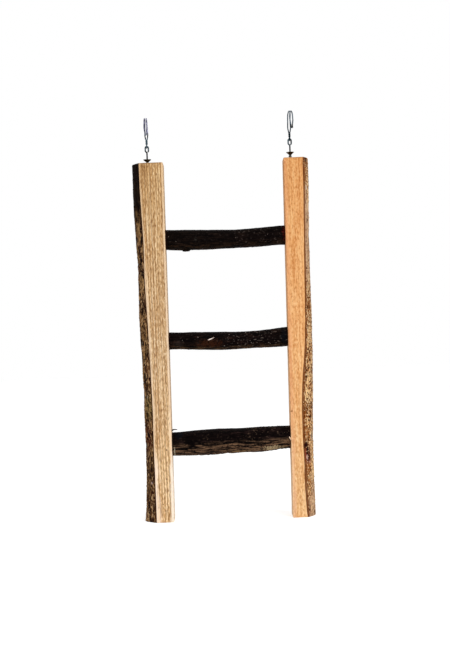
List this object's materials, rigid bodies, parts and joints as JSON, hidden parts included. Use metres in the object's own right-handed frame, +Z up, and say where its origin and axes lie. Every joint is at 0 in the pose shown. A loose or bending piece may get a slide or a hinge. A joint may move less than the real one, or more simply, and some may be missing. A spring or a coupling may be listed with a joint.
{
  "type": "rodent ladder",
  "caption": "Hanging climbing ladder for small rodents: live-edge wooden rails, bark-covered branch rungs and wire hooks that swing on screw eyes.",
  "frame": {"origin": "on the ground under the middle of the overall width and depth, level with the feet", "axes": "+X to the right seen from the front, +Y to the back, +Z up along the rails"},
  "size_m": [0.139, 0.021, 0.3174],
  "materials": {
    "rail_wood_left": "planed, unfinished, bark left on the outer edge",
    "rail_wood_right": "planed, unfinished, bark left on the outer edge",
    "rung_bark": "natural dark bark",
    "screw_steel": "zinc plated",
    "eye_steel": "zinc plated, dull",
    "collar_steel": "zinc plated, dull",
    "hook_wire": "zinc plated, satin"
  },
  "bodies": {
    "ladder": {"rail_left": "rail_wood_left", "rail_right": "rail_wood_right", "rung_top": "rung_bark", "rung_middle": "rung_bark", "rung_bottom": "rung_bark", "screw_top_left": "screw_steel", "screw_top_right": "screw_steel", "screw_middle_left": "screw_steel", "screw_middle_right": "screw_steel", "screw_bottom_left": "screw_steel", "screw_bottom_right": "screw_steel", "screw_eye_left": "eye_steel", "screw_eye_right": "eye_steel", "collar_left": "collar_steel", "collar_right": "collar_steel"},
    "hook_left": {"hook_left": "hook_wire"},
    "hook_right": {"hook_right": "hook_wire"}
  },
  "joints": [
    {"name": "hook_left_swing", "type": "hinge", "parent": "ladder", "child": "hook_left", "pos_m": [-0.05695, 0, 0.29407], "axis": [1, 0, 0], "range_deg": [-135, 105]},
    {"name": "hook_right_swing", "type": "hinge", "parent": "ladder", "child": "hook_right", "pos_m": [0.05535, 0, 0.29568], "axis": [0.9816, 0.1908, 0], "range_deg": [-135, 105]}
  ]
}
